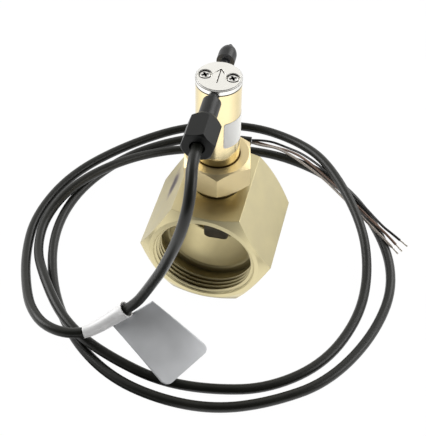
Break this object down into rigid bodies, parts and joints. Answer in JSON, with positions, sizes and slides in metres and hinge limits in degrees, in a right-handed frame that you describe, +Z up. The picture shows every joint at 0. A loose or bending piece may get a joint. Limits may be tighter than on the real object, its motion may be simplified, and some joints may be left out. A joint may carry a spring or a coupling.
{
  "type": "paddle flow switch",
  "caption": "Flow switch on a short hexagonal brass pipe tee: a hinged paddle hangs in the waterway from a round head, and a reed cartridge with a coiled cable sits under the cap.",
  "frame": {"origin": "middle of the tee's base flat, on the axis of the head", "axes": "+Z up along the head, +Y along the waterway with the flow, +X across the flow"},
  "size_m": [0.1921, 0.1918, 0.1221],
  "materials": {
    "tee_brass": "satin, turned and sawn from drawn bar",
    "neck_brass": "satin",
    "head_brass": "polished",
    "cap_nickel": "nickel plated, fine turned",
    "stainless": "bright",
    "black_moulding": "satin black",
    "paddle_plastic": "matte dark grey",
    "cable_sheath": "satin black",
    "core_black": "satin",
    "core_brown": "satin",
    "core_grey": "satin",
    "tinned_copper": "bright",
    "tag_film": "satin film",
    "seal_rubber": "matte",
    "contact_glass": "clear",
    "magnet": "ground"
  },
  "bodies": {
    "housing": {"tee_body": "tee_brass", "neck_bushing": "neck_brass", "head_housing": "head_brass", "head_o_ring": "seal_rubber", "cap_plate": "cap_nickel", "cap_screws": "stainless", "pivot_carrier": "head_brass", "carrier_circlip": "stainless", "pivot_pin": "stainless", "pivot_washers": "paddle_plastic", "reset_magnet": "magnet"},
    "pendulum": {"pendulum_arm": "stainless", "magnet_holder": "paddle_plastic", "pendulum_magnet": "magnet", "paddle_blade": "paddle_plastic", "paddle_rivets": "stainless"},
    "cartridge": {"cartridge_body": "black_moulding", "reed_glass": "contact_glass", "reed_leads": "stainless", "core_ends": "core_grey", "cable_tail": "cable_sheath", "gland_seal": "seal_rubber", "gland_nut": "black_moulding", "cable_jacket": "cable_sheath", "wire_black": "core_black", "wire_brown": "core_brown", "wire_grey": "core_grey", "wire_tips": "tinned_copper", "cable_tag": "tag_film"}
  },
  "joints": [
    {"name": "paddle_swing", "type": "hinge", "parent": "housing", "child": "pendulum", "pos_m": [0, 0, 0.086], "axis": [0.9994, 0.0349, 0], "range_deg": [-2, 9]},
    {"name": "cartridge_slide", "type": "slide", "parent": "housing", "child": "cartridge", "axis": [-0.0349, 0.9994, 0], "range_m": [-0.003, 0.003]}
  ]
}
